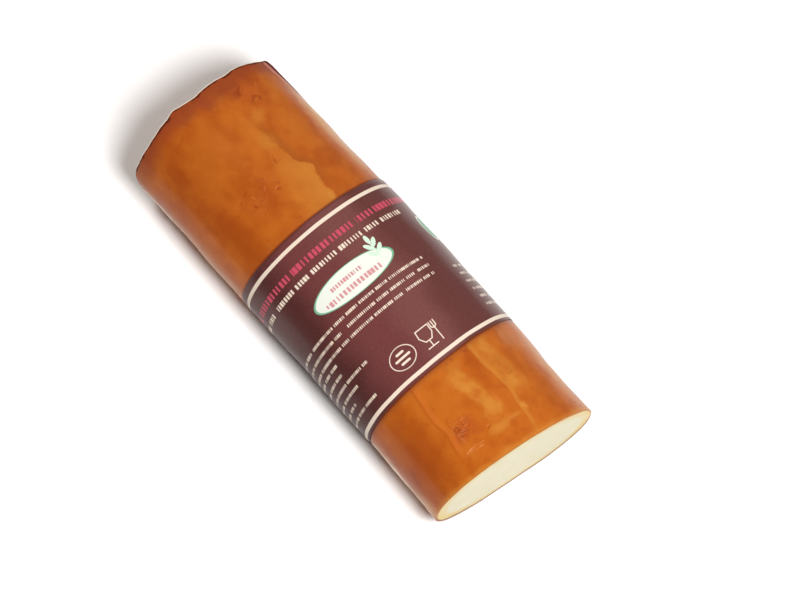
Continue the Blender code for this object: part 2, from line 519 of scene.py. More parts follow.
rind = {
    "colours": {
        "farAmber": (172, 88, 26), "nearAmber": (173, 88, 23), "gold": (192, 126, 50),
        "honey": (185, 103, 33), "orange": (190, 102, 38), "redBrown": (150, 65, 16),
        "ledgeShade": (148, 76, 26), "red": (158, 66, 30), "dark": (138, 56, 22),
        # the film, pale and haze tones are painted sheen, and the fold tone is a painted highlight
        "plum": (128, 54, 44), "filmSheen": (220, 172, 112), "pale": (248, 226, 204),
        "sheenHaze": (168, 127, 95), "foldHighlight": (206, 124, 104), "rim": (134, 59, 33),
        "fringe": (250, 238, 220), "seam": (66, 24, 14), "crease": (104, 42, 22),
        "bandShade": (108, 54, 38), "foldLine": (90, 30, 34), "lightCrease": (222, 148, 92),
        "lightNick": (196, 110, 52),
    },
    "roughness": 0.46,
    "foldDull": 0.5,            # roughness added on the folded line
    "coat": 0.34,
    "sockets": {
        "Specular IOR Level": 0.12, "Coat Roughness": 0.10, "Subsurface Weight": 0.10,
        "Subsurface Radius": (1.0, 0.45, 0.2), "Subsurface Scale": 0.003,
    },
    "bump": (0.5, 0.0003),      # strength, and distance in metres
    # how high each mark stands; below 0 it lies in
    "relief": {
        "crease": -0.7, "ripple": 0.12, "creaseLight": 0.4, "hollow": -0.9, "ridge": 0.6,
        "field": 0.35, "strip": 0.2, "scratch": 0.4, "gather": 2.0, "streak": 1.5,
    },
    "stir": (6.0, 2.2),         # how far marks and finer marks wander, in millimetres
    "jagged": 5.0,
    "curveSpan": 250.0,
    # middle round, middle along, half round, half along, colour, strength, softness, turn
    "patches": (
        # the film, pale and haze patches near rounds 80 and 200 are painted sheen along the two outlines, and
        # the fold one is a painted highlight
        (80, 46, 10, 36, "filmSheen", 0.56), (82, 72, 7, 16, "filmSheen", 0.26), (79, 27, 3.0, 4.0, "foldHighlight", 0.45),
        (92, 192, 7, 10, "sheenHaze", 0.32), (91, 4, 7, 10, "sheenHaze", 0.22), (78, 212, 9, 40, "filmSheen", 0.32),
        (199, 60, 16, 70, "filmSheen", 0.28), (201, 14, 10, 34, "pale", 0.70, 0.7),
        (189, 6, 12, 12, "honey", 0.55), (200, 212, 14, 46, "filmSheen", 0.34),
        (201, 211, 11, 37, "pale", 0.80, 0.7), (190, 237, 9, 15, "filmSheen", 0.45),
        (184, 214, 6, 18, "plum", 0.20), (178, 219, 2.2, 11, "plum", 0.35, 0.9, -0.1),
        (145, 30, 17, 22, "honey", 0.42), (101, 44, 9, 22, "honey", 0.40, 0.8),
        (93, 20, 9, 14, "honey", 0.40), (99, 66, 9, 9, "redBrown", 0.45, 0.5, 0.5),
        (163, 68, 9, 27, "redBrown", 0.75, 0.8, 0.12), (168, 84, 14, 9, "redBrown", 0.45),
        (165, 24, 7, 14, "redBrown", 0.70, 0.8, -0.25), (108, 14, 10, 12, "red", 0.30, 0.8, 0.4),
        (113.2, 12.6, 3.4, 2.8, "dark", 0.65, 0.9, 0.5), (108.6, 20.4, 2.6, 2.2, "dark", 0.50),
        (104, 7, 5, 7, "dark", 0.45), (128, 7, 4, 6, "plum", 0.40), (144, 6, 8, 5, "plum", 0.25),
        (152, 5, 8, 6, "red", 0.35), (113, 28, 6, 5, "gold", 0.34, 0.9, 0.3),
        (120, 31, 5, 12, "honey", 0.45), (119, 42, 5, 7, "gold", 0.30, 0.9, 0.2),
        (113, 84.5, 2.6, 3.6, "gold", 0.60, 0.8), (134, 61, 6, 9, "red", 0.25, 0.8),
        (148, 62, 6, 9, "red", 0.25, 0.8), (96.5, 190, 2.0, 7, "redBrown", 0.45),
        (98.5, 205, 4.5, 12, "redBrown", 0.46), (128, 193, 6, 9, "gold", 0.30, 0.8, -0.35),
        (127.5, 204.0, 5.0, 4.6, "gold", 0.60, 0.8, 0.2),
        (123.5, 216.5, 5.2, 6.0, "gold", 0.42, 0.8, 0.6),
        (126.0, 227.2, 8.5, 3.6, "gold", 0.55, 0.8, 0.10),
        (117, 227.2, 5.5, 1.2, "gold", 0.40, 0.7, 0.15), (110.0, 225.5, 1.7, 2.6, "gold", 0.75, 0.7),
        (107.0, 192, 3.4, 5, "gold", 0.40, 0.8, 0.05), (106.5, 212.5, 3.6, 4.5, "gold", 0.50, 0.7, 0.3),
        (104.3, 208.2, 2.2, 0.9, "redBrown", 0.80, 0.7), (116.6, 187.0, 1.6, 1.2, "dark", 0.60, 0.7),
        (135, 200, 9, 14, "honey", 0.45, 0.8, -0.3), (118, 198, 4.0, 12, "redBrown", 0.22, 0.7, 0.1),
        (138.5, 217.0, 6.5, 5.6, "red", 0.46, 0.8), (144.0, 220.0, 6.0, 6.4, "red", 0.52, 0.8, 0.3),
        (136.0, 222.5, 4.0, 3.0, "red", 0.32, 0.8), (92, 222, 9, 20, "redBrown", 0.30, 0.8),
        (163, 215, 11, 26, "redBrown", 0.62, 0.8), (172, 204, 8, 34, "redBrown", 0.34),
        (143, 187, 22, 5, "honey", 0.40),
    ),
    # place of each strip's middle round the log, at places along it, in millimetres
    "strips": {
        "golden": ((188, 132.0), (196, 129.6), (204, 127.0), (211, 124.6), (218, 123.4), (225, 125.0)),
        "pale": ((186, 148.2), (195, 149.2), (205, 149.8), (213, 148.0), (222, 148.4), (231, 149.4)),
        "edge": (
            (186, 113.8), (198, 113.8), (206, 112.4), (214, 110.6), (221, 111.2), (228, 111.6), (238, 114.2),
        ),
    },
    # the crisp edge of the golden field on the far part
    "ledge": (
        (0, 124), (14, 122), (24, 119.4), (34, 118.2), (44, 117.8), (51, 116.4), (59, 114.8),
        (63, 110.8), (67, 109.8), (71, 111.8), (77, 112.2), (82, 111.6), (87, 113.4),
    ),
    "wrinkles": ((141, 61, 13, 12, 0.0, 0.22), (142, 219, 8, 7, 0.0, 1.0)),     # strength last
    # middle round, middle along, half round, half along, turn, depth: below 0 for a light ridge
    "nicks": (
        (111.0, 10.8, 2.6, 0.8, 0.7, 0.9), (112.6, 12.8, 0.8, 2.0, 0.2, 0.8),
        (109.6, 9.2, 0.8, 1.6, 0.0, 0.6), (106.8, 18.6, 2.4, 0.7, -0.3, 0.9),
        (105.2, 20.4, 0.7, 1.3, -0.4, 0.8), (107.6, 20.6, 1.6, 0.6, 0.3, -0.4),
        (99.0, 11.0, 2.4, 0.6, 0.5, 0.5), (101.2, 11.8, 1.2, 0.6, 0.8, -0.4),
        (98.0, 34.6, 1.8, 0.6, 0.2, 0.3), (98.2, 36.6, 1.2, 0.5, 0.2, -0.25),
        (123.4, 52.6, 0.5, 2.4, -0.12, 0.6), (122.6, 49.6, 0.4, 1.2, -0.3, 0.4),
        (131.6, 63.6, 1.8, 0.7, 0.5, -0.6), (131.2, 65.2, 1.5, 0.7, -0.5, 0.7),
        (129.6, 62.4, 0.7, 1.2, 0.3, 0.4), (134.2, 55.6, 0.9, 0.9, 0.0, 0.5),
        (136.4, 60.4, 1.6, 0.5, 0.6, -0.5), (138.0, 58.6, 0.6, 1.4, 0.5, 0.4),
        (143.8, 60.2, 0.6, 1.9, 0.4, -0.55), (145.6, 55.6, 1.8, 0.6, 0.5, 0.65),
        (146.0, 64.4, 0.9, 1.7, 0.4, 0.6), (150.2, 58.0, 1.4, 0.6, 0.3, 0.5),
        (150.4, 60.6, 0.8, 0.6, 0.0, 0.5), (145.0, 70.4, 0.6, 1.5, -0.4, 0.35),
        (92.0, 6.4, 0.6, 3.0, 0.2, 0.4), (130.4, 223.6, 1.4, 0.9, 0.4, -0.7),
        (130.6, 224.8, 1.2, 0.5, 0.2, 0.5), (139.0, 213.4, 1.6, 0.5, 0.2, -0.7),
        (125.0, 187.2, 0.8, 0.9, 0.0, 0.5), (128.4, 187.4, 0.8, 0.8, 0.0, 0.4),
    ),
    "scratches": (142.5, 229.0, 7.5, 1.7),
    "spots": ((83, 235, 0.7), (81.2, 237.3, 0.6)),
}


def curveAlong(tree, along, points):
    # A smooth line through the given places, as millimetres round the log
    made = tree.nodes.new("ShaderNodeFloatCurve")
    line = made.mapping.curves[0]
    span = rind["curveSpan"]
    for index, (start, value) in enumerate(points):
        if index < 2:
            line.points[index].location = (start / span, value / span)
        else:
            line.points.new(start / span, value / span)
    made.mapping.update()
    feed(tree, made.inputs["Value"], calc(tree, "DIVIDE", along, span))
    return times(tree, made.outputs[0], span)


def makeRindMaterial():
    material, tree, shader = newMaterial("rind", rind["sockets"])
    rawRound, rawAlong, place = wrapPlace(tree)
    space, heightUp = spacePlace(tree)
    hues, strips = rind["colours"], rind["strips"]

    def paint(name, mask, *shares):
        nonlocal colour
        colour = blend(tree, times(tree, mask, *shares), colour, hues[name])

    def fadeAlong(*marks):
        return fade(tree, rawAlong, *marks)

    def offLine(value, points):
        return minus(tree, value, curveAlong(tree, rawAlong, points))

    # Everything on the rind has a wandering edge, so its place is stirred a little first
    stir = cloud(tree, space, 0.14, 3.0)["Color"]
    shift = addNode(tree, "ShaderNodeSeparateColor", {"Color": stir}).outputs
    round_, slightRound = [stirred(tree, shift["Red"], reach, rawRound) for reach in rind["stir"]]
    along, slightAlong = [stirred(tree, shift["Green"], reach, rawAlong) for reach in rind["stir"]]
    jaggedRound = stirred(tree, cloud(tree, space, 0.3, 4.0, 0.6)["Fac"], rind["jagged"], slightRound)

    colour = blend(tree, fadeAlong(60.0, 190.0), hues["farAmber"], hues["nearAmber"])
    broad = mottled(tree, stretched(tree, space, (0.35, 1.0, 1.0)), 22.0, 2.0, 1.6)
    paint("redBrown", fade(tree, broad, 0.55, 1.0, 0.0, 0.45))
    paint("honey", fade(tree, broad, 0.45, 0.0, 0.0, 0.40))
    small = mottled(tree, space, 6.5, 3.0, 1.5)
    paint("redBrown", fade(tree, small, 0.55, 0.95, 0.0, 0.30))
    paint("honey", fade(tree, small, 0.45, 0.10, 0.0, 0.28))
    bare = colour

    # Golden field below a crisp edge, as on a fold of the moulded skin, with painted shade along the other
    # side of the edge
    over = offLine(jaggedRound, rind["ledge"])
    depth = fadeAlong(48.0, 66.0, 9.0, 26.0)
    field = times(tree, window(tree, over, -0.7, 0.9, 0.5, depth), fadeAlong(48.0, 66.0, 0.36, 1.0),
                  window(tree, rawAlong, 20.0, 34.0, 90.0, 94.0))
    shade = times(tree, window(tree, over, -8.0, -0.8, -0.8, 0.4), fadeAlong(26.0, 38.0),
                  fadeAlong(84.0, 66.0, 0.3, 1.0))
    paint("gold", field, 0.58)
    paint("ledgeShade", shade, 0.60)

    def patch(middleRound, middleAlong, halfRound, halfAlong, name, strength, soft=0.9, turn=0.0):
        away = spotAway(tree, round_, along, middleRound, middleAlong, halfRound, halfAlong, turn)
        paint(name, fade(tree, away, 1.1, 1.1 - soft, 0.0, strength))

    for values in rind["patches"]:
        patch(*values)

    # Thin strips where the skin was drawn tight, and a sheet beside the one at the edge
    paleOff = offLine(rawRound, strips["pale"])
    paleOn = window(tree, rawAlong, 184.0, 188.0, 222.0, 233.0)
    pale = times(tree, window(tree, paleOff, -2.3, -0.7, 0.7, 2.0), paleOn)
    under = times(tree, window(tree, paleOff, 0.9, 1.4, 1.6, 3.0), paleOn)
    edgeOff = offLine(rawRound, strips["edge"])
    edgeOn = window(tree, rawAlong, 184.0, 187.0, 232.0, 239.0)
    edgeLine = times(tree, window(tree, edgeOff, -2.2, -0.4, 0.3, 1.2), edgeOn)
    sheet = times(tree, window(tree, edgeOff, -12.0, -9.5, -0.5, 0.5), edgeOn, fadeAlong(222.0, 212.0))
    torn = mottled(tree, space, 4.5, 3.0, 2.2)
    paint("gold", sheet, fade(tree, torn, 0.1, 0.8, 0.26, 0.42))
    paint("orange", pale, fadeAlong(186.0, 215.0, 0.62, 0.52))
    paint("redBrown", under, 0.35)
    paint("gold", edgeLine, 0.42)
    goldOff = calc(tree, "ABSOLUTE", offLine(jaggedRound, strips["golden"]))
    goldOn = window(tree, rawAlong, 187.0, 199.0, 219.0, 227.0)
    paint("gold", fade(tree, goldOff, 6.2, 2.2), goldOn, fade(tree, torn, 0.10, 0.80, 0.22, 0.58))

    # Puckered film: small creases, with painted shade in each crease and a painted highlight beside it
    reaches = []
    for *shape, strength in rind["wrinkles"]:
        reaches.append(fade(tree, spotAway(tree, round_, along, *shape), 1.1, 0.6, 0.0, strength))
    pucker = most(tree, reaches)
    fromCrease = apart(tree, cloud(tree, space, 0.17, 2.0, 0.55, 1.0)["Fac"], 0.5)
    patchy = mottled(tree, space, 6.0, 1.0, 2.0)
    crease = times(tree, fade(tree, fromCrease, 0.030, 0.004), pucker, fade(tree, patchy, 0.35, 0.7))
    creaseSide = fade(tree, apart(tree, fromCrease, 0.055), 0.03, 0.005)
    creaseLight = times(tree, creaseSide, pucker, fade(tree, patchy, 0.45, 0.8))
    paint("crease", crease, 0.38)
    paint("lightCrease", creaseLight, 0.30)

    # Fine scratches round the log near the cut
    grains = cloud(tree, stretched(tree, place, (0.35, 3.0, 1.0)), 0.6, 3.0)["Fac"]
    scratchOn = fade(tree, spotAway(tree, rawRound, rawAlong, *rind["scratches"]), 1.1, 0.5)
    scratch = times(tree, fade(tree, grains, 0.52, 0.62), scratchOn)
    paint("lightCrease", scratch, 0.7)

    # The far end is smoked darker, least down the near flank
    smoked = fade(tree, stirred(tree, broad, 7.0, along), 15.0, 4.0, 0.0, 0.85)
    paint("rim", smoked, fade(tree, rawRound, 168.0, 190.0, 1.0, 0.25))

    # Nicks and small ridges of the skin, and two dark spots
    hollows, ridges = [], []
    for *shape, deep in rind["nicks"]:
        away = spotAway(tree, slightRound, slightAlong, *shape)
        (hollows if deep > 0 else ridges).append(fade(tree, away, 1.25, 0.3, 0.0, abs(deep)))
    hollow, ridge = most(tree, hollows), most(tree, ridges)
    paint("dark", hollow, 0.85)
    paint("lightNick", ridge, 0.8)
    for middleRound, middleAlong, size in rind["spots"]:
        away = spotAway(tree, rawRound, rawAlong, middleRound, middleAlong, size, size)
        paint("crease", fade(tree, away, 1.2, 0.5, 0.0, 0.8))

    # Film folded over at the far corner: a painted highlight streak between a dark line and a fainter painted
    # shadow line
    leaned = raised(tree, slightRound, rawAlong, 0.25)
    outer = times(tree, window(tree, leaned, 75.0, 78.6, 82.1, 83.0),
                  window(tree, rawAlong, -0.4, 0.0, 18.0, 30.0))
    streak = times(tree, window(tree, leaned, 82.5, 83.3, 85.8, 86.6), fadeAlong(20.0, 12.0))
    inner = times(tree, window(tree, leaned, 86.2, 86.9, 87.6, 88.3), fadeAlong(16.0, 4.0))
    paint("foldHighlight", streak, 0.6)
    paint("crease", inner, 0.6)
    paint("foldLine", outer, 0.85)

    # A dark line and a thin pale line at the far rim
    ragged = mottled(tree, space, 4.0, 2.0, 1.6)
    seam = raised(tree, 0.75, ragged, 1.3)
    paint("seam", fade(tree, minus(tree, rawAlong, seam), 0.35, -0.1), 0.8)
    paint("fringe", fadeAlong(0.75, 0.6))

    # The end face: moulded rind under the film, which is gathered towards its middle
    gathers = wander(tree, calc(tree, "DIVIDE", raised(tree, rawRound, ragged, 5.0), 7.0), 2.0)
    gather = times(tree, window(tree, rawAlong, -17.0, -14.0, -3.0, 0.0), fade(tree, gathers, 0.48, 0.74))
    smoky = fade(tree, raised(tree, rawAlong, broad, 10.0), -18.0, 4.0, 0.1, 0.75)
    face = blend(tree, smoky, bare, hues["rim"])
    face = blend(tree, times(tree, gather, 0.16), face, hues["lightCrease"])
    onRind = raised(tree, rawAlong, ragged, 1.3)
    colour = blend(tree, fade(tree, onRind, 0.35, -0.1), colour, face)

    # Painted shade beside the band and a painted shadow line at its edges, a painted highlight on the rind
    # next to the cut, and darker brown round the cut's edge, most towards the bottom
    beside = calc(tree, "MINIMUM", apart(tree, rawAlong, log["bandStart"] / millimetre),
                  apart(tree, rawAlong, log["bandEnd"] / millimetre))
    paint("bandShade", fade(tree, beside, 6.0, 1.0, 0.0, 0.12))
    paint("bandShade", window(tree, rawAlong, 176.8, 180.0, 185.2, 188.4), 0.32)
    paint("crease", fade(tree, beside, 1.5, 0.3, 0.0, 0.75))
    paint("gold", fade(tree, along, 236.8, 240.6, 0.0, 0.60))
    paint("crease", fade(tree, heightUp, 34.0, 14.0, 0.25, 0.85), fadeAlong(240.0, 240.3))

    # Most shine on the far shoulder, little down the near flank and none on the folded line
    flank = times(tree, fade(tree, rawRound, 160.0, 182.0), fadeAlong(110.0, 190.0, 0.25, 0.55))
    shine = times(tree, fade(tree, rawRound, 97.0, 80.0, 1.0, 1.3), minus(tree, 1.0, flank),
                  fadeAlong(3.0, 24.0, 0.15, 1.0))
    shine = calc(tree, "ADD", shine, fadeAlong(-0.9, -2.0, 0.0, 0.7))
    feed(tree, shader.inputs["Base Color"], colour)
    feed(tree, shader.inputs["Roughness"], raised(tree, rind["roughness"], outer, rind["foldDull"]))
    feed(tree, shader.inputs["Coat Weight"], times(tree, shine, minus(tree, 1.0, outer), rind["coat"]))

    height = times(tree, crease, rind["relief"]["crease"])
    for name, mask in {
        "ripple": mottled(tree, space, 3.2, 3.0, 1.0), "creaseLight": creaseLight, "hollow": hollow,
        "ridge": ridge, "field": field, "strip": most(tree, [pale, edgeLine]), "scratch": scratch,
        "gather": gather, "streak": streak,
    }.items():
        height = raised(tree, height, mask, rind["relief"][name])
    addBump(tree, shader, height, *rind["bump"])
    return material


# Paste at the cut

paste = {
    "ivory": (215, 208, 182),
    "warm": (211, 201, 166),
    "yellow": (212, 184, 106),
    "amber": (196, 126, 44),
    "brown": (116, 68, 28),
    "sockets": {
        "Roughness": 0.5, "Subsurface Weight": 0.25,
        "Subsurface Radius": (1.0, 0.8, 0.45), "Subsurface Scale": 0.004,
    },
    "bump": (0.3, 0.0002),
}


def makePasteMaterial():
    material, tree, shader = newMaterial("paste", paste["sockets"])
    attribute = {"attribute_type": "GEOMETRY", "attribute_name": "rimDepth"}
    depth = addNode(tree, "ShaderNodeAttribute", **attribute).outputs["Fac"]
    space, heightUp = spacePlace(tree)
    patchy = mottled(tree, space, 9.0, 3.0, 1.2)
    colour = blend(tree, times(tree, patchy, 0.7), paste["ivory"], paste["warm"])
    # The rim is wider and browner towards the bottom
    uneven = times(tree, stirred(tree, patchy, 1.2, depth), fade(tree, heightUp, 12.0, 32.0, 0.55, 1.0))
    browned = minus(tree, depth, fade(tree, heightUp, 8.0, 32.0, 2.4, 0.45))
    colour = blend(tree, fade(tree, uneven, 4.6, 0.9), colour, paste["yellow"])
    colour = blend(tree, fade(tree, uneven, 1.5, 0.7), colour, paste["amber"])
    colour = blend(tree, fade(tree, browned, 0.35, -0.1, 0.0, 0.85), colour, paste["brown"])
    feed(tree, shader.inputs["Base Color"], colour)
    grain = mottled(tree, space, 1.3, 4.0, 1.0)
    drag = cloud(tree, stretched(tree, space, (0.1, 0.04, 1.6)), 1.0, 2.0)["Fac"]
    addBump(tree, shader, raised(tree, grain, drag, 0.8), *paste["bump"])
    return material


# Printed band. Across runs in reading direction from the band's left outline, down from
# its top edge, both in millimetres.

band = {
    "colours": {
        "maroon": (104, 56, 55), "crownLight": (111, 66, 63), "farSide": (95, 53, 50),
        "flankDark": (76, 40, 38), "rubbed": (140, 92, 88), "faded": (150, 126, 122),
        "cream": (223, 206, 188), "pink": (190, 74, 94), "plaque": (222, 225, 216),
        "plaqueEdge": (112, 172, 138), "sprig": (200, 222, 202), "leaf": (92, 160, 118),
    },
    "leftOutline": 200.0,
    "coat": 0.33,
    "sockets": {"Roughness": 0.5, "Specular IOR Level": 0.08, "Coat Roughness": 0.16},
    "bump": (0.12, 0.0001),
    "stripes": (4.67, 94.8),
    "stripeHalf": 1.0,
    "stripeSoft": 0.12,
    # rows of blocks, with the numbers that blocks["values"] names
    "pinkRows": (
        (-56.0, 40.6, 0.0, 16.5, 9.0, 1.0, 3.6, 2.6, 26.0, 1.0),
        (43.0, 82.0, 0.0, 16.5, 9.0, 1.0, 3.6, 2.6, 80.0, 21.0),
        (85.0, 138.0, 0.0, 16.5, 9.0, 1.0, 3.6, 2.6, 80.0, 31.0),
    ),
    "creamRows": (
        (-44.0, 111.5, 0.0, 22.8, 6.0, 1.0, 2.6, 1.8, 15.0, 2.0),
        (-50.0, 104.0, 9.0, 49.7, 5.0, 3.0, 1.5, 1.05, 9.0, 5.0),
        (-60.0, 44.0, 30.0, 63.8, 4.95, 6.0, 1.5, 1.05, 9.0, 9.0),
        (113.0, 150.0, 0.0, 61.0, 5.1, 6.0, 1.5, 1.05, 8.0, 13.0),
    ),
    "plaqueRows": (
        (51.5, 71.0, 0.0, 36.4, 9.0, 1.0, 2.2, 1.6, 80.0, 41.0),
        (44.0, 80.0, 0.0, 42.0, 9.0, 1.0, 2.9, 2.2, 80.0, 44.0),
    ),
    # ovals: across and down of the middle, half across, half down
    "plaque": (63.7, 37.6, 24.8, 7.9),
    "cornerLeaf": (121.6, 34.5, 4.5, 8.2),
    "ring": (57.2, 84.0, 7.4, 6.0),
    "sprig": (82.0, 32.0),
    "sprigStem": (0.4, 6.0),
    "sprigLeaf": (2.7, 1.15),
    # across, down, turn of each leaf, from the sprig's place
    "sprigLeaves": (
        (-2.4, 2.0, 0.7), (2.5, 0.8, -0.75), (-2.0, -2.2, 0.95), (2.0, -3.2, -0.95), (0.1, -5.8, 1.57),
    ),
    # bars in the ring, and a goblet and fork: each line's start and end from the mark's place
    "ringBars": ((57.2, 84.0), 0.6, ((-1.8, -2.6, 1.8, -2.6), (-4.0, 0.0, 4.0, 0.0), (-2.2, 2.6, 2.2, 2.6))),
    "tableMark": ((74.3, 84.0), 0.29, (
        (-5.0, -5.5, 2.3, -5.5), (-5.0, -5.5, -5.4, -1.6), (-5.4, -1.6, -3.4, 1.6), (-3.4, 1.6, 0.3, 1.6),
        (0.3, 1.6, 2.4, -1.4), (2.4, -1.4, 2.3, -5.5), (-1.5, 1.6, -1.5, 5.1), (-4.6, 5.2, 1.6, 5.2),
        (3.3, -5.6, 3.3, -2.8), (4.7, -5.6, 4.7, -1.8), (6.1, -5.6, 6.1, -2.8),
        (3.3, -2.8, 4.7, -1.8), (6.1, -2.8, 4.7, -1.8), (4.7, -1.8, 4.7, 5.3),
    )),
}


def makeBandMaterial():
    material, tree, shader = newMaterial("printedBand", band["sockets"])
    round_, along, place = wrapPlace(tree)
    across = minus(tree, band["leftOutline"], round_)
    down = minus(tree, along, log["bandStart"] / millimetre)

    def paint(name, mask, *shares):
        nonlocal colour
        colour = blend(tree, times(tree, mask, *shares), colour, band["colours"][name])

    def rows(name):
        return [useGroup(tree, blockRows, across=across, down=down, **dict(zip(blocks["values"], row)))
                for row in band[name]]

    def lines(middle, half, marks):
        return [useGroup(tree, printedLine, across=across, down=down, halfWidth=half,
                         startAcross=middle[0] + mark[0], startDown=middle[1] + mark[1],
                         endAcross=middle[0] + mark[2], endDown=middle[1] + mark[3]) for mark in marks]

    # Painted light over the crown and painted shade down the near flank and on the far side, then lighter and
    # darker wear
    swayed = stirred(tree, cloud(tree, place, 0.04, 1.0)["Fac"], 20.0, round_)
    colour = band["colours"]["maroon"]
    paint("flankDark", fade(tree, swayed, 148.0, 172.0))
    paint("crownLight", fade(tree, swayed, 142.0, 124.0))
    paint("farSide", fade(tree, swayed, 118.0, 103.0))
    worn = mottled(tree, place, 1.6, 3.0, 1.0)
    paint("rubbed", fade(tree, worn, 0.55, 0.85, 0.0, 0.07))
    paint("flankDark", fade(tree, worn, 0.45, 0.15, 0.0, 0.15))
    # A greyed painted sheen near the far outline and low down the near flank
    paint("faded", fade(tree, round_, 93.0, 76.0, 0.0, 0.34))
    paint("faded", fade(tree, round_, 168.0, 186.0), fade(tree, down, 64.0, 24.0, 0.0, 0.17))

    half, soft = band["stripeHalf"], band["stripeSoft"]
    cream = [fade(tree, apart(tree, down, middle), half + soft, half - soft) for middle in band["stripes"]]
    ring = spotAway(tree, across, down, *band["ring"])
    cream.append(fade(tree, apart(tree, ring, 0.965), 0.055, 0.015))
    cream += rows("creamRows") + lines(*band["ringBars"]) + lines(*band["tableMark"])
    paint("cream", most(tree, cream))
    paint("pink", most(tree, rows("pinkRows")))

    plaque = spotAway(tree, across, down, *band["plaque"])
    paint("plaqueEdge", fade(tree, plaque, 1.03, 1.0))
    paint("plaque", fade(tree, plaque, 0.978, 0.955))
    paint("pink", most(tree, rows("plaqueRows")), fade(tree, plaque, 0.9, 0.84), 0.7)

    sprigAcross, sprigDown = band["sprig"]
    sprig = [fade(tree, spotAway(tree, across, down, sprigAcross, sprigDown, *band["sprigStem"]), 1.06, 0.9)]
    for leafAcross, leafDown, turn in band["sprigLeaves"]:
        middle = (sprigAcross + leafAcross, sprigDown + leafDown)
        sprig.append(fade(tree, spotAway(tree, across, down, *middle, *band["sprigLeaf"], turn), 1.06, 0.94))
    paint("sprig", most(tree, sprig))
    corner = spotAway(tree, across, down, *band["cornerLeaf"])
    paint("plaque", fade(tree, corner, 1.08, 1.0))
    paint("leaf", fade(tree, corner, 0.94, 0.86))

    # The coated face shines most over the far shoulder
    shine = times(tree, fade(tree, round_, 97.0, 80.0, 1.0, 1.8), fade(tree, round_, 166.0, 190.0, 1.0, 0.5))
    feed(tree, shader.inputs["Base Color"], colour)
    feed(tree, shader.inputs["Coat Weight"], times(tree, shine, band["coat"]))
    addBump(tree, shader, mottled(tree, place, 0.8, 3.0, 1.0), *band["bump"])
    return material


# The cheese

cheese = {
    "ringPoints": 288,
    "rindStep": 0.00105,
    "rimTurns": (0, 15, 30, 45, 60, 75, 90),
    "capShrinks": (0.06, 0.15, 0.3, 0.45, 0.6, 0.74, 0.85, 0.92, 0.97),
    "cutInsets": (0.0004, 0.0007, 0.0011, 0.0016, 0.0022),
    "faceShrinks": (0.92, 0.88, 0.82, 0.74, 0.64, 0.52, 0.4, 0.28, 0.17, 0.08),
    "faceSpan": 38.0,           # millimetres on the map from an end's rim to its middle
    "pasteStart": 0.1,          # millimetres in from the cut's rim
    "filmRadius": 0.041,
    "filmWaveSize": 0.011,
    "filmWaveHeight": 0.00010,
    "cutWaveSize": 0.016,
    "cutWaveHeight": 0.00012,
    "cutWaveStart": 0.5,
    "cutWaveFull": 6,
}


def rindDetail(along, share, height):
    # Slight waves of the tight film, gone where the log rests
    turn = share * math.tau
    place = Vector((along, cheese["filmRadius"] * math.cos(turn), cheese["filmRadius"] * math.sin(turn)))
    wave = noise.noise(place / cheese["filmWaveSize"]) * cheese["filmWaveHeight"]
    return wave * eased(height / log["lumpFadeHeight"])


def makeCheese():
    count = cheese["ringPoints"]
    rounding = log["rimRounding"]
    span = cheese["faceSpan"]
    rows, marks, depths = [], [], []

    def addRow(mark, depth, *args, **values):
        rows.append(skinRing(*args, **values))
        marks.append(mark)
        depths.append(depth)

    for shrink in cheese["capShrinks"]:
        bulge = log["endCrown"] * (1 - shrink ** 2)
        addRow(-(1 - shrink) * span * millimetre, 0.0, 0.0, count, rounding, shrink, bulge)
    for degrees in cheese["rimTurns"]:
        turn = math.radians(degrees)
        at = rounding * (1 - math.cos(turn))
        addRow(at, 0.0, at, count, rounding * (1 - math.sin(turn)))
    start, end = rounding, log["length"] - log["cutRounding"]
    steps = round((end - start) / cheese["rindStep"])
    for step in range(1, steps + 1):
        along = start + (end - start) * step / steps
        under = log["bandStart"] < along < log["bandEnd"]
        seat = log["bandSeat"] + log["bandThickness"] if under else 0.0

        def inset(height, seat=seat):
            return seat + (bandInset(height) if seat else 0.0)

        addRow(along, 0.0, along, count, inset, detail=rindDetail)
    length = log["length"]
    for inset in cheese["cutInsets"]:
        addRow(length + inset, inset / millimetre, length, count, inset)
    for shrink in cheese["faceShrinks"]:
        depth = (1 - shrink) * span
        addRow(length + depth * millimetre, depth, length, count, cheese["cutInsets"][-1], shrink)

    mesh = wrappedGrid(rows, marks, depths)
    rimDepth = mesh.verts.layers.float["rimDepth"]
    for vertex in mesh.verts:
        if vertex[rimDepth] > cheese["cutWaveStart"]:
            wave = noise.noise(vertex.co / cheese["cutWaveSize"]) * cheese["cutWaveHeight"]
            vertex.co.x += wave * min(vertex[rimDepth] / cheese["cutWaveFull"], 1)
    closeHoles(mesh, -span * millimetre)
    # Each end's middle point is as deep as the ring round it, so the paste reaches it
    for vertex in mesh.verts:
        if not vertex.is_boundary and len(vertex.link_edges) == count:
            vertex[rimDepth] = max(v[rimDepth] for e in vertex.link_edges for v in e.verts)
    for face in mesh.faces:
        if all(vertex[rimDepth] > cheese["pasteStart"] for vertex in face.verts):
            face.material_index = 1
    return finished("cheese", mesh, [makeRindMaterial(), makePasteMaterial()])


# The band

bandShape = {
    "ringPoints": 256,
    "step": 0.0012,
    "thickness": 0.00022,
    "edgeWave": 0.00022,
    "waveRows": 6,              # how many rows from each edge are wavy
    "longWaves": 5,
    "shortWaves": 13,
    "shortShare": 0.5,          # height of the short waves, as a share of the long ones'
    "waveShift": 90,            # so that the two edges differ
}


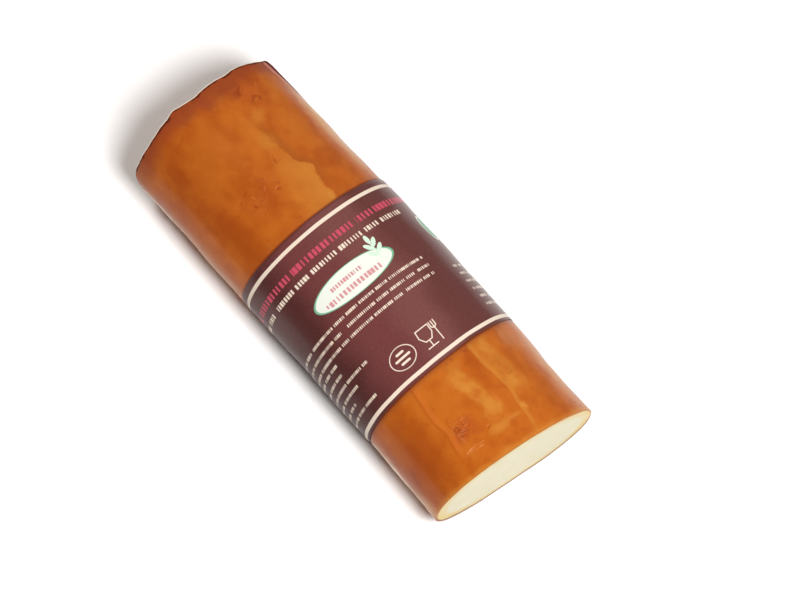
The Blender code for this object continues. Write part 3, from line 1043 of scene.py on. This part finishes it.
def makeBand():
    count = bandShape["ringPoints"]
    start, end = log["bandStart"], log["bandEnd"]
    steps = round((end - start) / bandShape["step"])
    rows, marks = [], []
    for step in range(steps + 1):
        along = start + (end - start) * step / steps
        edge = min(step, steps - step)
        size = bandShape["edgeWave"] * max(0.0, 1 - edge / bandShape["waveRows"])
        ring, girth = skinRing(along, count, bandInset)
        for index, point in enumerate(ring):
            turn = math.tau * index / count
            wave = math.sin(bandShape["longWaves"] * turn + along * bandShape["waveShift"])
            wave += bandShape["shortShare"] * math.sin(bandShape["shortWaves"] * turn + 1.0)
            point.x += size * wave / (1 + bandShape["shortShare"])
        rows.append((ring, girth))
        marks.append(along)
    mesh = wrappedGrid(rows, marks)
    piece = finished("label", mesh, [makeBandMaterial()])
    wall = piece.modifiers.new("paper", "SOLIDIFY")
    wall.thickness = bandShape["thickness"]
    wall.offset = -1.0
    return piece


def boxMiddle(piece):
    sides = list(zip(*(vertex.co for vertex in piece.data.vertices)))
    return Vector([(min(side) + max(side)) / 2 for side in sides[:2]] + [0.0])


cheesePiece = makeCheese()
bandPiece = makeBand()
middle = boxMiddle(cheesePiece)
for piece in (cheesePiece, bandPiece):
    for vertex in piece.data.vertices:
        vertex.co -= middle
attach(cheesePiece, "root")
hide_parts("cheese")
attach(bandPiece, "root")
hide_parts("label")
print("cheese and band made:", len(cheesePiece.data.polygons), len(bandPiece.data.polygons))


# Studio

studio = {
    "floorSockets": {"Base Color": linear((250, 250, 250)), "Roughness": 0.9, "Specular IOR Level": 0.0},
    "floorSize": 3.0,
    "targetAlong": 0.130744,    # where the camera looks, from the far end
    "targetAcross": 0.019912,
    "elevation": 70.16,
    "heading": 49.27,
    "distance": 1.27941,
    "lens": 112.28,
    "sensor": 36.0,
    "clip": (0.05, 20.0),
    "skyColour": (1.0, 0.93, 0.87),
    "skyFrom": -0.5,            # where the sky starts to brighten, and where it is brightest
    "skyTo": 0.6,
    "nearSky": 0.05,
    "farSky": 0.24,
    # place, power, size and colour of each lamp
    "lamps": {
        "key": ((0.63, -0.03, 1.137), 17.6, 0.42, (1.0, 1.0, 1.0)),
        "fill": ((-0.68, -0.05, 1.05), 5.2, 0.5, (1.0, 0.95, 0.90)),
    },
}


def makeFloor():
    mesh = bmesh.new()
    bmesh.ops.create_grid(mesh, x_segments=1, y_segments=1, size=studio["floorSize"])
    floor = finished("floor", mesh, [newMaterial("floor", studio["floorSockets"])[0]])


def hang(name, data, place, way):
    # Camera or lamp at a place, facing the way given
    made = bpy.data.objects.new(name, data)
    made.location = place
    made.rotation_mode = "QUATERNION"
    made.rotation_quaternion = way.to_track_quat("-Z", "Y")
    bpy.context.scene.collection.objects.link(made)
    return made


def makeCamera():
    elevation = math.radians(studio["elevation"])
    heading = math.radians(studio["heading"])
    forward = Vector((
        -math.sin(heading) * math.cos(elevation),
        math.cos(heading) * math.cos(elevation),
        -math.sin(elevation),
    ))
    target = Vector((studio["targetAlong"], studio["targetAcross"], 0.0)) - middle
    data = bpy.data.cameras.new("camera")
    data.lens = studio["lens"]
    data.sensor_width = studio["sensor"]
    data.clip_start, data.clip_end = studio["clip"]
    bpy.context.scene.camera = hang("camera", data, target - forward * studio["distance"], forward)


def makeSoftbox(name, place, power, size, colour):
    data = bpy.data.lights.new(name, "AREA")
    data.shape = "DISK"
    data.size = size
    data.energy = power
    data.color = colour
    light = hang(name, data, place, -Vector(place))
    light.visible_glossy = False    # the film on the rind shows no lamp


def makeWorld():
    # Dim all round, so that the film shows no window, and paler on the far side
    world = bpy.data.worlds.new("studio")
    world.use_nodes = True
    bpy.context.scene.world = world
    tree = world.node_tree
    way = addNode(tree, "ShaderNodeTexCoord").outputs["Generated"]
    across = addNode(tree, "ShaderNodeSeparateXYZ", {0: way}).outputs["Y"]
    shade = fade(tree, across, studio["skyFrom"], studio["skyTo"], studio["nearSky"], studio["farSky"])
    background = tree.nodes["Background"]
    feed(tree, background.inputs["Color"], (*studio["skyColour"], 1.0))
    feed(tree, background.inputs["Strength"], shade)


makeFloor()
makeCamera()
makeWorld()
for name, values in studio["lamps"].items():
    makeSoftbox(name, *values)
bpy.context.scene.view_settings.view_transform = "Standard"
print("studio made")
